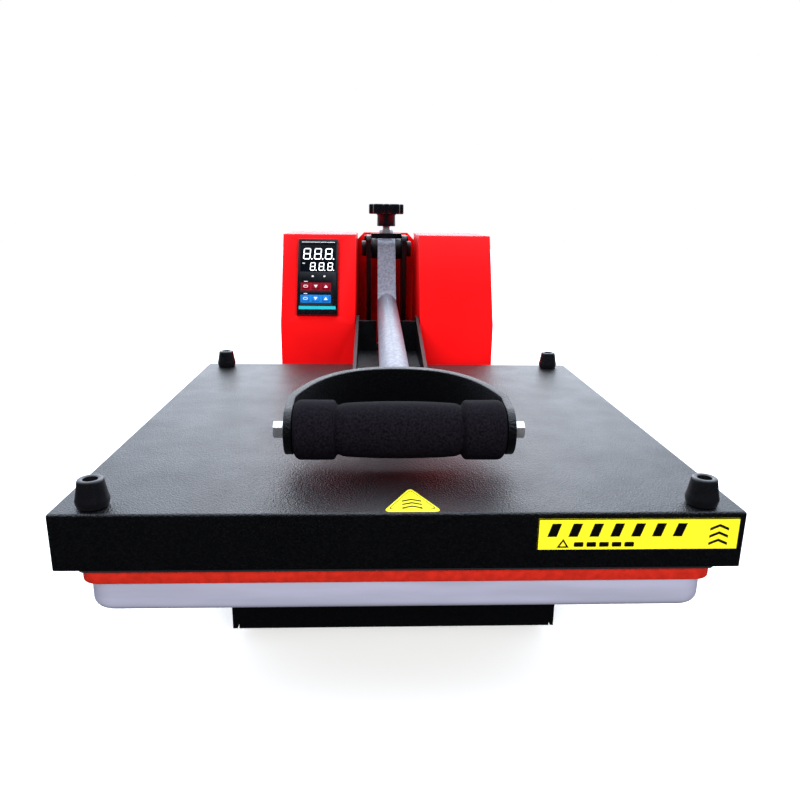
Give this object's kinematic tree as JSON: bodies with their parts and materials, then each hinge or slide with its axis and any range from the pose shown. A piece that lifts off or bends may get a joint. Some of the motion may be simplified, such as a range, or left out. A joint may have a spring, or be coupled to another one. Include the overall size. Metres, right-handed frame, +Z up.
{
  "type": "clamshell heat press",
  "caption": "Clamshell heat press: covered heating platen on a hinged arm over a padded lower platen, over-centre lever with foam grip, pressure knob and a control box.",
  "frame": {"origin": "middle of the press's length and width, on the surface that its rubber feet stand on", "axes": "+Z up, +Y from the operator's side to the back, +X to the operator's right"},
  "size_m": [0.398, 0.6286, 0.3318],
  "materials": {
    "black_coat": "textured black powder coat",
    "red_paint": "gloss red enamel",
    "zinc": "bright zinc plate",
    "black_steel": "black oxide",
    "platen_grey": "silver paint, satin",
    "cast_aluminium": "machined casting",
    "lever_silver": "silver hammer finish",
    "silicone": "orange silicone sponge",
    "black_rubber": "smooth black rubber",
    "foam": "closed-cell foam",
    "black_plastic": "fine grained black plastic",
    "window": "dark gloss window",
    "red_keys": "dark red membrane",
    "blue_keys": "blue membrane",
    "red_plastic": "red translucent plastic",
    "white_plastic": "white nylon",
    "silicone_sleeve": "silicone sleeve",
    "mica": "mica sheet",
    "insulation": "mineral fibre board",
    "bronze": "sintered bronze",
    "label_yellow": "printed vinyl"
  },
  "bodies": {
    "frame": {"base_frame": "black_coat", "rubber_feet": "black_rubber", "case_screws": "zinc", "upright_left": "black_coat", "upright_right": "black_coat", "tie_bars": "black_steel", "upright_screws": "black_steel", "top_crossbar": "black_coat", "lock_nut": "zinc", "hinge_shaft": "zinc", "platen_posts": "black_steel", "lower_platen": "platen_grey", "silicone_pad": "silicone", "housing_left": "red_paint", "housing_right": "red_paint", "rear_panel": "red_paint", "controller_case": "black_plastic", "display_window": "window", "temp_strip": "red_keys", "time_strip": "blue_keys", "solid_state_relay": "white_plastic", "terminal_block": "white_plastic", "power_inlet": "black_plastic", "switch_bezel": "black_plastic", "fuse_holder": "black_plastic", "spring_anchors": "black_coat", "cable_grommet": "black_rubber"},
    "platen_arm": {"heater_cable": "silicone_sleeve", "heater_cover": "black_coat", "cover_bumpers": "black_rubber", "bumper_screws": "zinc", "heat_platen": "cast_aluminium", "heating_element": "mica", "insulation_board": "insulation", "platen_spacers": "zinc", "platen_bracket": "black_coat", "bracket_bolts": "black_steel", "hinge_bushes": "bronze", "bracket_pins": "black_steel", "lift_springs": "zinc", "warning_labels": "label_yellow"},
    "yoke": {"pressure_yoke": "black_coat", "lever_shaft": "black_steel"},
    "knob": {"pressure_screw": "zinc", "pressure_knob": "black_plastic"},
    "lever": {"lever_arm": "lever_silver", "lever_fork": "black_coat", "grip_tube": "zinc", "foam_grip": "foam", "grip_bolts": "zinc", "link_pin": "zinc"},
    "link": {"toggle_link": "black_coat"},
    "rocker": {"power_rocker": "red_plastic"},
    "fuse_plug": {"fuse_cap": "black_plastic"},
    "temp_set_key": {"temp_set_button": "red_keys"},
    "temp_down_key": {"temp_down_button": "red_keys"},
    "temp_up_key": {"temp_up_button": "red_keys"},
    "time_set_key": {"time_set_button": "blue_keys"},
    "time_down_key": {"time_down_button": "blue_keys"},
    "time_up_key": {"time_up_button": "blue_keys"}
  },
  "joints": [
    {"name": "platen_open", "type": "hinge", "parent": "frame", "child": "platen_arm", "pos_m": [0, 0.263, 0.14], "axis": [-1, 0, 0], "range_deg": [0, 50], "deforming": ["lift_springs", "heater_cable"]},
    {"name": "pressure_slide", "type": "slide", "parent": "frame", "child": "yoke", "axis": [0, 0, 1], "range_m": [-0.003, 0.003]},
    {"name": "knob_turn", "type": "hinge", "parent": "yoke", "child": "knob", "pos_m": [0, 0.275, 0.31], "axis": [0, 0, 1], "range_deg": [-720, 720]},
    {"name": "lever_lift", "type": "hinge", "parent": "yoke", "child": "lever", "pos_m": [0, 0.253, 0.275], "axis": [-1, 0, 0], "range_deg": [0, 81]},
    {"name": "link_swing", "type": "hinge", "parent": "lever", "child": "link", "pos_m": [0, 0.2274, 0.2297], "axis": [1, 0, 0], "range_deg": [0, 124]},
    {"name": "power_rock", "type": "hinge", "parent": "frame", "child": "rocker", "pos_m": [0.082, 0.3, 0.152], "axis": [-1, 0, 0], "range_deg": [0, 20]},
    {"name": "fuse_twist", "type": "hinge", "parent": "frame", "child": "fuse_plug", "pos_m": [0.082, 0.31, 0.19], "axis": [0, -1, 0], "range_deg": [0, 90]},
    {"name": "temp_set_press", "type": "slide", "parent": "frame", "child": "temp_set_key", "axis": [0, 0.8934, -0.4493], "range_m": [0, 0.0008], "stiffness_N_per_m": 1200, "springref_m": -0.0004},
    {"name": "temp_down_press", "type": "slide", "parent": "frame", "child": "temp_down_key", "axis": [0, 0.8934, -0.4493], "range_m": [0, 0.0008], "stiffness_N_per_m": 1200, "springref_m": -0.0004},
    {"name": "temp_up_press", "type": "slide", "parent": "frame", "child": "temp_up_key", "axis": [0, 0.8934, -0.4493], "range_m": [0, 0.0008], "stiffness_N_per_m": 1200, "springref_m": -0.0004},
    {"name": "time_set_press", "type": "slide", "parent": "frame", "child": "time_set_key", "axis": [0, 0.8934, -0.4493], "range_m": [0, 0.0008], "stiffness_N_per_m": 1200, "springref_m": -0.0004},
    {"name": "time_down_press", "type": "slide", "parent": "frame", "child": "time_down_key", "axis": [0, 0.8934, -0.4493], "range_m": [0, 0.0008], "stiffness_N_per_m": 1200, "springref_m": -0.0004},
    {"name": "time_up_press", "type": "slide", "parent": "frame", "child": "time_up_key", "axis": [0, 0.8934, -0.4493], "range_m": [0, 0.0008], "stiffness_N_per_m": 1200, "springref_m": -0.0004}
  ],
  "couplings": [
    {"joint": "lever_lift", "follows": "platen_open", "ratio": 1.612},
    {"joint": "link_swing", "follows": "platen_open", "ratio": 2.474},
    {"joint": "knob_turn", "follows": "pressure_slide", "rad_per_m": 4188.8}
  ]
}
